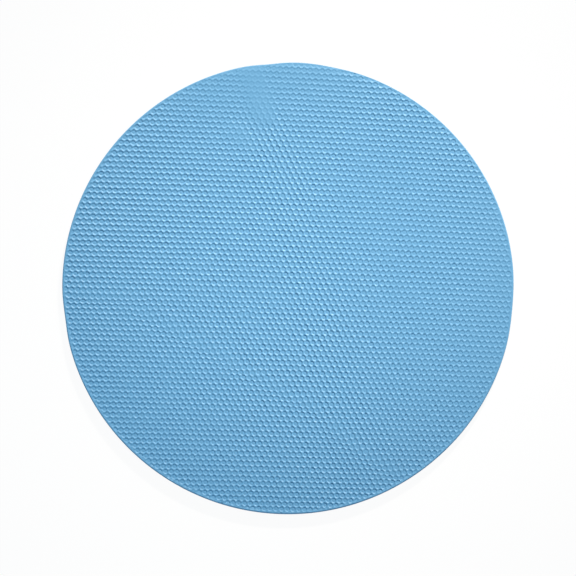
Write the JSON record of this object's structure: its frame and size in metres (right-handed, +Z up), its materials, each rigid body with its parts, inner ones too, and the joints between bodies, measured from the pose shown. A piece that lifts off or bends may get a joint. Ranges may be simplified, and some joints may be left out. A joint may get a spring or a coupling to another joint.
{
  "type": "jar opener pad",
  "caption": "Flat round rubber grip pad for opening jars, with a soft die-cut rim and a plain face to rest on.",
  "frame": {"origin": "middle of the face that the pad rests on, at the bottom of the whole pad", "axes": "+Z up, out of the grip face and along the disc's axis; the pad lies flat in XY, and the rows of the grip pattern run nearly along X"},
  "size_m": [0.127, 0.127, 0.0024],
  "materials": {
    "rubber": "matt sky blue, embossed with small staggered pits"
  },
  "bodies": {
    "root": {"grip_pad": "rubber"}
  },
  "joints": []
}
